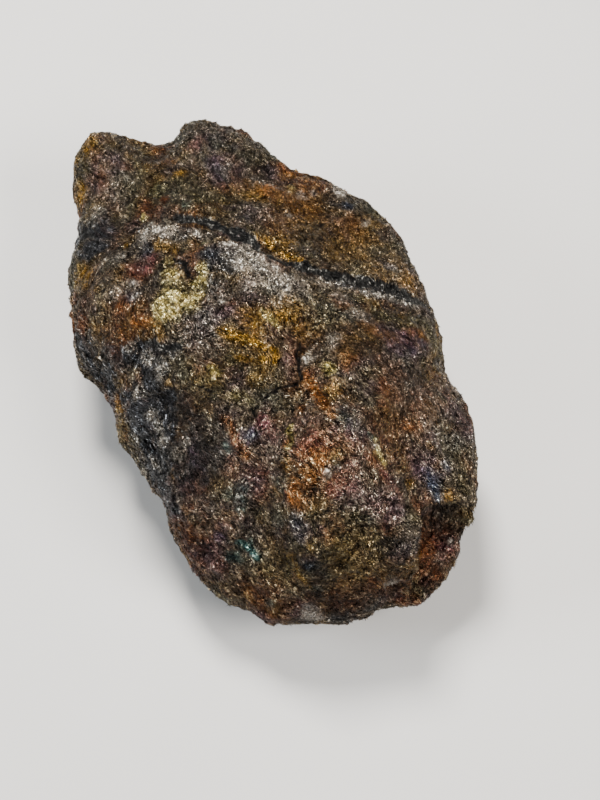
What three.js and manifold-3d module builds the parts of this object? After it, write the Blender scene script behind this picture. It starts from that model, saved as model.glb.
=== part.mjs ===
// Peacock ore: one rough, broken lump of bornite and chalcopyrite, crossed by a seam of grey sulphides.
// It lies on its back with its best face up. Millimetres, +Z up, the origin near the middle of the flat
// spot that it rests on. The narrow back end points along +Y and the thick undercut corner is at +X -Y.
//
// The lump is a solid field cast onto a ball of points: an outline seen from above, with walls that lean
// in, a top of fracture faces that meet in ridges, and an underside that rounds in to the resting spot.
// Valleys, swellings and chips give the relief, and the broken corner is cut out of it.

import * as THREE from 'three';
import { ImprovedNoise } from 'three/addons/math/ImprovedNoise.js';
import { mergeVertices } from 'three/addons/utils/BufferGeometryUtils.js';
import Module from 'manifold-3d';

const wasm = await Module();
wasm.setup();

// Driving dimensions.
const CROWN = 49; // the highest level of the top face above the resting spot
const FRONT_END = -58; // the front and back ends of the outline along Y
const BACK_END = 70;
const FRONT_WIDEST = 13; // height of the widest level of the lump at each end
const BACK_WIDEST = 27;
const LEAN_IN = 9; // how far the walls come in from the widest level to the crown
const TUCK_UNDER = 23; // and from the widest level down to the resting spot
const SHOULDER = 3; // rounding between walls, top and underside
const RIDGE = 2; // rounding between two fracture faces
const FADE_OUT = 1.5; // valleys and swellings die away at this many times their stated reach
const DETAIL = 19; // each edge of the starting icosahedron is cut into one more than this

// The outline from above, anticlockwise from the right-hand end of the seam.
const OUTLINE = [
  [36, 26], [34, 33], [29, 42], [24, 47], [19, 51], [14, 54], [8, 55], [5, 57], [-1, 60], [-5, 63],
  [-10, 66], [-14, 67.5], [-20, 68], [-22.5, 66.5], [-24.5, 63], [-31, 63.5], [-40, 64.5], [-45, 64],
  [-48, 62], [-51, 59], [-52, 55], [-51, 50], [-49, 43], [-48.5, 37], [-50, 28], [-50, 21],
  [-48.5, 13], [-49, 7], [-46.5, 2], [-42, -0.5], [-39, -6], [-36, -12], [-33, -18], [-30, -24.5],
  [-27, -28], [-25, -33], [-23, -38], [-19, -43], [-15, -49], [-11, -54.5], [-4, -57.5], [5, -58.5],
  [14, -58], [22, -57], [29, -55.5], [35, -53.5], [40.5, -49.5], [45, -43.5], [47, -37.5], [48, -31],
  [48, -24], [47, -16], [45, -9], [42, -2], [41, 6], [40.5, 12], [38.5, 19.5],
];

// The fracture faces of the top: a point on each, the compass direction that it falls towards,
// anticlockwise from +X, and how steeply.
const TOP_FACES = [
  { name: 'crown', at: [-4, 10, CROWN], falls: 280, slope: 3 },
  { name: 'back slope', at: [-18, 30, CROWN - 4], falls: 88, slope: 16 },
  { name: 'back right slope', at: [0, 24, CROWN - 2.5], falls: 42, slope: 27 },
  { name: 'left shoulder', at: [-24, 12, CROWN - 2.5], falls: 172, slope: 24 },
  { name: 'right shoulder', at: [31, -6, CROWN - 7], falls: 14, slope: 44 },
  { name: 'right end', at: [25, -30, CROWN - 5], falls: -12, slope: 33 },
  { name: 'dark flank', at: [-22, -14, CROWN - 5], falls: 207, slope: 50 },
  { name: 'left brow', at: [-1, -34, CROWN - 5.5], falls: 238, slope: 33 },
  { name: 'left front', at: [-9, -33, CROWN - 7], falls: 222, slope: 45 },
  { name: 'brow', at: [14, -41, CROWN - 5], falls: 272, slope: 44 },
  { name: 'front left', at: [3, -42, CROWN - 6.5], falls: 243, slope: 59 },
  { name: 'front', at: [16, -49.5, CROWN - 11], falls: 273, slope: 66 },
];

// Points are cast out from the middle through an ellipsoid of these half sizes.
const MIDDLE = new THREE.Vector3(-2, 2, 24);
const SPREAD = new THREE.Vector3(50, 64, 42);

// Fracture planes of the sides and underside: the outward direction as compass and elevation, and the
// reach of the plane from the middle of the lump.
const SIDE_PLANES = [
  { compass: 12, elevation: -48, reach: 33 },
  { compass: 38, elevation: -32, reach: 41 },
  { compass: 72, elevation: -24, reach: 53 },
  { compass: 104, elevation: -40, reach: 52 },
  { compass: 138, elevation: -28, reach: 64 },
  { compass: 164, elevation: -52, reach: 38.5 },
  { compass: 196, elevation: -34, reach: 38 },
  { compass: 214, elevation: -56, reach: 32 },
  { compass: 246, elevation: -30, reach: 52 },
  { compass: 268, elevation: -52, reach: 46 },
  { compass: 296, elevation: -28, reach: 63 },
  { compass: 322, elevation: -46, reach: 53.5 },
  { compass: 346, elevation: -30, reach: 53.5 },
];

// Valleys in the top face: a line, how far the valley reaches to each side of it, and its depth.
const VALLEYS = [
  {
    name: 'seam',
    line: [[-50, 38], [-37, 33], [-18, 31], [-7, 26], [4, 18.5], [14, 15.5], [26, 16], [40, 17]],
    reach: 2.3,
    depth: 2.1,
  },
  { name: 'centre', line: [[8, 0], [7, -9], [4, -18], [1, -29], [-1, -40]], reach: 6, depth: 2.6 },
  { name: 'centre crack', line: [[8, 2], [6.8, -8], [5, -17], [2.4, -27]], reach: 1.6, depth: 1.6 },
  { name: 'branch crack', line: [[4, -12], [-1, -15], [-4, -21], [-3, -27]], reach: 1.6, depth: 1.5 },
  { name: 'left of the seam', line: [[-50, 28], [-38, 26], [-28, 22]], reach: 5, depth: 1.4 },
  { name: 'above the front', line: [[-24, -3], [-16, -6], [-8, -14]], reach: 5, depth: 1.2 },
];

// Swellings of the top face: middle, half sizes, turn of the long axis, and rise (a hollow is below 0).
const SWELLINGS = [
  { name: 'front swelling', at: [15, -34], half: [16, 13], turn: -20, rise: 2.4 },
  { name: 'galena bank', at: [-1, 15], half: [13, 6], turn: -28, rise: 1.6 },
  { name: 'back knob', at: [-16, 62], half: [8, 7], turn: 0, rise: 1.8 },
  { name: 'left knob', at: [-42, 57], half: [9, 8], turn: 20, rise: 1 },
  { name: 'hollow by the knob', at: [-28, 60], half: [8, 6], turn: 0, rise: -1.6 },
  { name: 'right hollow', at: [27, 2], half: [10, 14], turn: 10, rise: -1.8 },
  { name: 'back hollow', at: [16, 34], half: [13, 9], turn: -40, rise: -1.6 },
  { name: 'left bank', at: [-33, 8], half: [9, 12], turn: 10, rise: 1.4 },
  { name: 'front hollow', at: [22, -48], half: [7, 4], turn: 0, rise: -2.4 },
  { name: 'front bump', at: [6, -50], half: [7, 4], turn: 10, rise: 2.4 },
];

// The gully down the front, beside the broken corner.
const GULLY = {
  line: new THREE.Line3(new THREE.Vector3(28, -40, 32), new THREE.Vector3(27, -57, 12)),
  reach: 4.2,
  depth: 4.5,
};

// Rough lumps cut out of the solid: middle, half sizes and turn about Z then tilt about X, in degrees.
const CUTS = [
  { name: 'corner bite', at: [46, -47.9, 32.9], half: [13.5, 12.5, 13], turn: 4, tilt: 16, seed: 3 },
  { name: 'corner front', at: [43.5, -53, 21.5], half: [12, 8, 8], turn: 4, tilt: 52, seed: 7 },
  { name: 'undercut', at: [43, -32.6, 23.2], half: [10.5, 4.4, 2.6], turn: 4, tilt: 8, seed: 6 },
  { name: 'side undercut', at: [50.5, -36, 15], half: [7, 9, 9.5], turn: -8, tilt: 0, seed: 9 },
];

// Broken facets all over the surface: how many, how far each one may tip and sink, the most that it
// may stand out or go in, and the width of the step between two of them.
const CHIPS = { count: 260, tip: 0.2, sink: 0.35, most: 1.6, step: 4, seed: 57 };
// Roughness: the wavelength and height of the rolling part and of each size of sharp crests.
const ROLLING = { wave: 26, height: 1.5 };
const CRESTS = [{ wave: 15, height: 1.8 }, { wave: 9, height: 0.5 }];
// The cuts' own roughness, in shares of their half size, and how boxy they are: 1 is an ellipsoid.
const CUT_BUMPS = { wave: 0.6, height: 0.22, square: 0.6 };
const EVENING = { rounds: 10, soften: 0.4 }; // how the points are spread and softened on the surface

const noise = new ImprovedNoise();
const radians = THREE.MathUtils.degToRad;

// Three numbers from -1 to 1 that depend only on the seed.
function scatter(seed) {
  const APART = 7919;
  const number = (n) => THREE.MathUtils.seededRandom(seed * APART + n) * 2 - 1;
  return new THREE.Vector3(number(1), number(2), number(3));
}

// The larger or smaller of two values, with the corner between them rounded over a width.
function roundedMax(a, b, width) {
  const near = Math.max(width - Math.abs(a - b), 0) / width;
  return Math.max(a, b) + near * near * width * 0.25;
}
const roundedMin = (a, b, width) => -roundedMax(-a, -b, width);

// A value that is 1 in the middle and eases to 0 where the share reaches 1.
const fade = (share) => (share < 1 ? (1 - share * share) ** 2 : 0);

// The shortest way from a point of the plan to a line of points.
function distanceToLine(x, y, line, closed = false) {
  let best = Infinity;
  const last = closed ? line.length : line.length - 1;
  for (let i = 0; i < last; i += 1) {
    const [ax, ay] = line[i];
    const [bx, by] = line[(i + 1) % line.length];
    const along = ((x - ax) * (bx - ax) + (y - ay) * (by - ay)) / ((bx - ax) ** 2 + (by - ay) ** 2);
    const t = THREE.MathUtils.clamp(along, 0, 1);
    best = Math.min(best, Math.hypot(x - ax - t * (bx - ax), y - ay - t * (by - ay)));
  }
  return best;
}

// How far a point of the plan is outside the outline, and below 0 inside it.
function outlineDistance(x, y) {
  let inside = false;
  OUTLINE.forEach(([ax, ay], i) => {
    const [bx, by] = OUTLINE[(i + 1) % OUTLINE.length];
    if (ay > y !== by > y && x < ax + ((y - ay) / (by - ay)) * (bx - ax)) inside = !inside;
  });
  return distanceToLine(x, y, OUTLINE, true) * (inside ? -1 : 1);
}

function widestHeight(y) {
  const share = (y - FRONT_END) / (BACK_END - FRONT_END);
  return THREE.MathUtils.lerp(FRONT_WIDEST, BACK_WIDEST, share);
}

// How far the wall stands inside the outline at a height.
function wallInset(y, z) {
  const widest = widestHeight(y);
  if (z >= widest) return LEAN_IN * ((z - widest) / (CROWN - widest)) ** 2;
  return TUCK_UNDER * ((widest - z) / widest) ** 2;
}

function faceHeight({ at, falls, slope }, x, y) {
  const along = (x - at[0]) * Math.cos(radians(falls)) + (y - at[1]) * Math.sin(radians(falls));
  return at[2] - along * Math.tan(radians(slope));
}

function swelling({ at, half, turn, rise }, x, y) {
  const c = Math.cos(radians(turn));
  const s = Math.sin(radians(turn));
  const u = ((x - at[0]) * c + (y - at[1]) * s) / half[0];
  const v = ((y - at[1]) * c - (x - at[0]) * s) / half[1];
  return rise * fade(Math.hypot(u, v) / FADE_OUT);
}

function topHeight(x, y) {
  let height = Infinity;
  for (const face of TOP_FACES) {
    const plane = faceHeight(face, x, y);
    height = height === Infinity ? plane : roundedMin(height, plane, RIDGE * 2);
  }
  for (const { line, reach, depth } of VALLEYS) {
    height -= depth * fade(distanceToLine(x, y, line) / (reach * FADE_OUT));
  }
  for (const bump of SWELLINGS) height += swelling(bump, x, y);
  return height;
}

// The outward normal of a plane given by compass direction and elevation.
function outward(compass, elevation) {
  return new THREE.Vector3(
    Math.cos(radians(compass)) * Math.cos(radians(elevation)),
    Math.sin(radians(compass)) * Math.cos(radians(elevation)),
    Math.sin(radians(elevation)),
  );
}
const sidePlanes = SIDE_PLANES.map(({ compass, elevation, reach }) => {
  const normal = outward(compass, elevation);
  return new THREE.Plane(normal, -(normal.dot(MIDDLE) + reach));
});

// Below 0 inside the unbroken form of the lump and above 0 outside it. The top faces slope, so the
// nearest way to them is shorter than the way straight down.
function wholeForm(point) {
  const { x, y, z } = point;
  const SLOPED = 0.8;
  let value = outlineDistance(x, y) + wallInset(y, z);
  value = roundedMax(value, (z - topHeight(x, y)) * SLOPED, SHOULDER);
  for (const plane of sidePlanes) value = roundedMax(value, plane.distanceToPoint(point), RIDGE);
  return value;
}

// The outermost point of a form on the ray from its middle towards a point.
function castOut(form, towards) {
  const REACH = 100;
  const STEPS = 40;
  const direction = towards.clone().sub(MIDDLE).normalize();
  const at = (distance) => direction.clone().multiplyScalar(distance).add(MIDDLE);
  let outside = REACH;
  while (outside > 0 && form(at(outside)) > 0) outside -= REACH / STEPS;
  let inside = outside;
  outside += REACH / STEPS;
  for (let i = 0; i < 12; i += 1) {
    const half = (inside + outside) / 2;
    if (form(at(half)) > 0) outside = half;
    else inside = half;
  }
  return at(inside);
}

// Chips: the nearest of these points on the surface decides how a spot of it tips and sinks.
const chips = Array.from({ length: CHIPS.count }, (_, i) => ({
  at: castOut(wholeForm, scatter(CHIPS.seed + i).multiply(SPREAD).add(MIDDLE)),
  tip: scatter(CHIPS.seed + i + 5000).multiplyScalar(CHIPS.tip),
  sink: scatter(CHIPS.seed + i + 9000).x * CHIPS.sink,
}));

function depthOnChip({ at, tip, sink }, point) {
  const depth = sink + tip.dot(point) - tip.dot(at);
  return THREE.MathUtils.clamp(depth, -CHIPS.most, CHIPS.most);
}

function chipDepth(point) {
  let [first, second] = [chips[0], chips[0]];
  let [firstAway, secondAway] = [Infinity, Infinity];
  for (const chip of chips) {
    const away = chip.at.distanceTo(point);
    if (away < firstAway) {
      [second, secondAway] = [first, firstAway];
      [first, firstAway] = [chip, away];
    } else if (away < secondAway) {
      [second, secondAway] = [chip, away];
    }
  }
  // Halfway between two chips the depth is halfway between theirs.
  const share = THREE.MathUtils.smoothstep((secondAway - firstAway) / CHIPS.step, 0, 1);
  return THREE.MathUtils.lerp(depthOnChip(second, point), depthOnChip(first, point), 0.5 + share / 2);
}

function noiseAt({ x, y, z }, wave, shift) {
  return noise.noise(x / wave + shift, y / wave - shift, z / wave + 2 * shift);
}

// The crests run where the noise changes sign.
function roughness(point) {
  const USUAL = 0.2; // about the mean of the noise's size
  let depth = ROLLING.height * noiseAt(point, ROLLING.wave, 3.3);
  for (const { wave, height } of CRESTS) {
    depth += height * (Math.abs(noiseAt(point, wave, wave)) - USUAL);
  }
  return depth;
}

function gullyDepth(point) {
  const nearest = GULLY.line.closestPointToPoint(point, true, new THREE.Vector3());
  return GULLY.depth * fade(nearest.distanceTo(point) / (GULLY.reach * FADE_OUT));
}

// The roughness and the chips reach no further than this from the unbroken form.
const MOST_ROUGH = 6;

function brokenForm(point) {
  const whole = wholeForm(point);
  if (whole > MOST_ROUGH) return whole;
  return Math.max(whole + roughness(point) + chipDepth(point) + gullyDepth(point), -point.z);
}

function closedGeometry(geometry) {
  geometry.deleteAttribute('normal');
  geometry.deleteAttribute('uv');
  return mergeVertices(geometry, 1e-4);
}

// A ball of points cast onto the lump, then evened out over its surface and lightly softened.
function lumpGeometry() {
  const geometry = closedGeometry(new THREE.IcosahedronGeometry(1, DETAIL));
  const position = geometry.getAttribute('position');
  const points = Array.from({ length: position.count }, (_, i) =>
    new THREE.Vector3().fromBufferAttribute(position, i));
  const neighbours = points.map(() => new Set());
  const index = geometry.index.array;
  for (let i = 0; i < index.length; i += 3) {
    for (let k = 0; k < 3; k += 1) {
      neighbours[index[i + k]].add(index[i + ((k + 1) % 3)]);
      neighbours[index[i + ((k + 1) % 3)]].add(index[i + k]);
    }
  }
  let cast = points.map((p) => castOut(brokenForm, p.multiply(SPREAD).add(MIDDLE)));
  const meanAround = (i) => {
    const mean = new THREE.Vector3();
    neighbours[i].forEach((n) => mean.add(cast[n]));
    return mean.divideScalar(neighbours[i].size);
  };
  for (let round = 0; round < EVENING.rounds; round += 1) {
    cast = cast.map((_, i) => castOut(brokenForm, meanAround(i)));
  }
  cast = cast.map((p, i) => p.clone().lerp(meanAround(i), EVENING.soften));
  cast.forEach((p, i) => position.setXYZ(i, p.x, p.y, p.z));
  return geometry;
}

// A lump with a broken surface, for cutting.
function cutterGeometry({ at, half, turn, tilt, seed }) {
  const geometry = closedGeometry(new THREE.IcosahedronGeometry(1, 4));
  const position = geometry.getAttribute('position');
  const point = new THREE.Vector3();
  for (let i = 0; i < position.count; i += 1) {
    point.fromBufferAttribute(position, i);
    const size = 1 + CUT_BUMPS.height * noiseAt(point, CUT_BUMPS.wave, seed);
    const boxy = (value) => size * Math.sign(value) * Math.abs(value) ** CUT_BUMPS.square;
    position.setXYZ(i, boxy(point.x), boxy(point.y), boxy(point.z));
  }
  geometry.scale(...half);
  geometry.rotateX(radians(tilt));
  geometry.rotateZ(radians(turn));
  geometry.translate(...at);
  return geometry;
}

function solidOf(geometry) {
  return new wasm.Manifold(new wasm.Mesh({
    numProp: 3,
    vertProperties: new Float32Array(geometry.getAttribute('position').array),
    triVerts: new Uint32Array(geometry.index.array),
  }));
}

function geometryOf(solid) {
  const { numProp, vertProperties, triVerts } = solid.getMesh();
  const geometry = new THREE.BufferGeometry();
  const vertices = new THREE.InterleavedBuffer(vertProperties, numProp);
  geometry.setAttribute('position', new THREE.InterleavedBufferAttribute(vertices, 3, 0));
  geometry.setIndex(new THREE.BufferAttribute(triVerts, 1));
  return geometry.toNonIndexed();
}

function ore() {
  let solid = solidOf(lumpGeometry());
  for (const cut of CUTS) solid = solid.subtract(solidOf(cutterGeometry(cut)));
  const geometry = geometryOf(solid);
  geometry.computeVertexNormals();
  const material = new THREE.MeshStandardMaterial({
    color: 0x5c4a38,
    roughness: 0.5,
    metalness: 0.45,
    flatShading: true,
  });
  const mesh = new THREE.Mesh(geometry, material);
  mesh.name = 'peacock_ore';
  return mesh;
}

const part = new THREE.Group();
part.add(ore());

export default part;
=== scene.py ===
import itertools
import math

import bpy
import numpy as np
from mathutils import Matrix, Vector
from mathutils.bvhtree import BVHTree
from mathutils.kdtree import KDTree


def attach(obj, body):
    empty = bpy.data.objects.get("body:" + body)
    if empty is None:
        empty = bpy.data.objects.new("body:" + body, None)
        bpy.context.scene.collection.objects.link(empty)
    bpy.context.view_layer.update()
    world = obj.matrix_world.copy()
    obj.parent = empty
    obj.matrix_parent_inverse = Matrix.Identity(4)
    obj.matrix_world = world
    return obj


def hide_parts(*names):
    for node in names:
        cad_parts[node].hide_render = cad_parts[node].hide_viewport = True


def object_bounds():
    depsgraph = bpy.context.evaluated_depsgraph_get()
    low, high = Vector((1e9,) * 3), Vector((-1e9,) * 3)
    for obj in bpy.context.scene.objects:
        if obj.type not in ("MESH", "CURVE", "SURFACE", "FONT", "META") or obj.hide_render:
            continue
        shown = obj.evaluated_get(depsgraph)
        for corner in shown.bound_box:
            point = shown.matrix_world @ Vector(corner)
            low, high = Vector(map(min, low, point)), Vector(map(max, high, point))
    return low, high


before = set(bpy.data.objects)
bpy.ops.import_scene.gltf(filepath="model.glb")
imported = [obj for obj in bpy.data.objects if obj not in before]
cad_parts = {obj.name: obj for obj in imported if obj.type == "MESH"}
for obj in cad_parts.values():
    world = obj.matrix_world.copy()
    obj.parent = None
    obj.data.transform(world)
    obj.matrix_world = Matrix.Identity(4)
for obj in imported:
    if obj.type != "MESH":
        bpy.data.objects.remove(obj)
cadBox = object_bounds()
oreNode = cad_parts["peacock_ore"]
mm = 0.001  # lengths below are in millimetres unless a name says otherwise
boxLow, boxHigh = (np.array(corner) / mm for corner in cadBox)
print("frame loaded")


def addToScene(name, data):
    thing = bpy.data.objects.new(name, data)
    bpy.context.scene.collection.objects.link(thing)
    return thing


# where the camera stands and what it looks at
viewOf = {
    "target": (6.8, -3.8, 20.0),
    "elevation": 62.0,  # degrees above the floor
    "distance": 400.0,
    "lens": 75.0,
    "nearest": 10.0,    # whatever is nearer than this isn't seen
}


def placeCamera(view):
    lift = math.radians(view["elevation"])
    away = Vector((0.0, -math.cos(lift), math.sin(lift)))
    camera = addToScene("camera", bpy.data.cameras.new("camera"))
    camera.location = (Vector(view["target"]) + away * view["distance"]) * mm
    camera.rotation_euler = (math.pi / 2 - lift, 0.0, 0.0)
    camera.data.lens = view["lens"]
    camera.data.clip_start = view["nearest"] * mm
    bpy.context.scene.camera = camera


placeCamera(viewOf)
print("camera placed")


# soft noise around 0 that is the same on every run
noiseCells = 256
noiseMask = noiseCells - 1
roundShift = 31.7  # keeps the rounds of layered noise from lining up
tiny = 1e-9        # keeps a length of 0 from dividing anything


def makeNoise(seed):
    dice = np.random.default_rng(seed)
    table = dice.permutation(noiseCells)
    slopes = dice.normal(size=(noiseCells, 3))
    slopes /= np.linalg.norm(slopes, axis=1, keepdims=True)

    def noiseAt(points, period):
        spot = points / period
        cell = np.floor(spot).astype(int)
        part = spot - cell
        blend = part ** 3 * (part * (part * 6 - 15) + 10)  # from one cell softly to the next
        total = np.zeros(len(points))
        for corner in itertools.product((0, 1), repeat=3):
            at = (cell + corner) & noiseMask
            pick = table[(table[at[:, 0]] + at[:, 1]) & noiseMask]
            pick = table[(pick + at[:, 2]) & noiseMask]
            value = ((part - corner) * slopes[pick]).sum(1)
            total += value * np.where(corner, blend, 1 - blend).prod(1)
        return total

    return noiseAt


noises = [makeNoise(seed) for seed in (11, 23, 37, 41, 59, 67)]
borderNoise, grainNoise, foldNoise, crumpleNoise, galenaNoise, gapNoise = noises


def layered(noiseAt, points, period, rounds):
    # every round is half as wide and half as strong as the one before
    total = np.zeros(len(points))
    for step in range(rounds):
        total += noiseAt(points + roundShift * step, period / 2 ** step) / 2 ** step
    return total


def wavesAt(noiseAt, points, period, rounds, apart):
    # layered noise in each of the three directions
    return np.stack([layered(noiseAt, points + apart * k, period, rounds) for k in range(3)], 1)


def ease(low, high, value):
    part = np.clip((value - low) / (high - low), 0.0, 1.0)
    return part * part * (3 - 2 * part)


def unit(vectors):
    return vectors / np.maximum(np.linalg.norm(vectors, axis=1, keepdims=True), tiny)


def distanceToPath(points, path):
    path = np.asarray(path, float)
    nearest = np.full(len(points), np.inf)
    for start, end in zip(path[:-1], path[1:]):
        along = end - start
        part = np.clip((points - start) @ along / (along @ along), 0.0, 1.0)
        gap = np.linalg.norm(points - start - part[:, None] * along, axis=1)
        nearest = np.minimum(nearest, gap)
    return nearest


def keepInside(points, margin, margins):
    # eases what comes within some margins of a side of the solid's box back to one margin from it
    near = margins * margin
    for corner, side in ((boxLow, -1), (boxHigh, 1)):
        for axis in range(3):
            if side < 0 and axis == 2:
                continue  # the resting spot stays on the floor
            limit = side * corner[axis]
            room = limit - side * points[:, axis]
            eased = margin + (near - margin) * np.exp((room - near) / (near - margin))
            points[:, axis] = side * (limit - np.where(room < near, eased, room))
    return points


# reading and writing meshes
def readVectors(mesh, what):
    found = np.empty(len(mesh.vertices) * 3)
    mesh.vertices.foreach_get(what, found)
    return found.reshape(-1, 3)


def readPoints(mesh):
    return readVectors(mesh, "co") / mm


def readEdges(mesh):
    found = np.empty(len(mesh.edges) * 2, int)
    mesh.edges.foreach_get("vertices", found)
    return found.reshape(-1, 2)


def readTriangles(mesh):
    mesh.calc_loop_triangles()
    found = np.empty(len(mesh.loop_triangles) * 3, int)
    mesh.loop_triangles.foreach_get("vertices", found)
    return found.reshape(-1, 3)


def writePoints(mesh, points):
    mesh.vertices.foreach_set("co", (points * mm).ravel())
    mesh.update()


def addColours(mesh, name, columns):
    values = np.ones((len(mesh.vertices), 4))
    for place, column in enumerate(columns):
        values[:, place] = column
    layer = mesh.attributes.new(name, "FLOAT_COLOR", "POINT")
    layer.data.foreach_set("color", values.ravel())


# a mesh carries the minerals' shares in layers of up to three
mineralLayers = {
    "metals": ("silver", "brass", "charcoal"),
    "warm": ("gold", "rust", "olive"),
    "bright": ("orange", "pink", "pale"),
    "cool": ("violet", "teal", "blue"),
    "seamsAndShade": ("vein", "dark", "crack"),
    "evenness": ("calm",),
}


def addMinerals(mesh, minerals):
    for layer, names in mineralLayers.items():
        addColours(mesh, layer, [minerals[name] for name in names])
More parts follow.
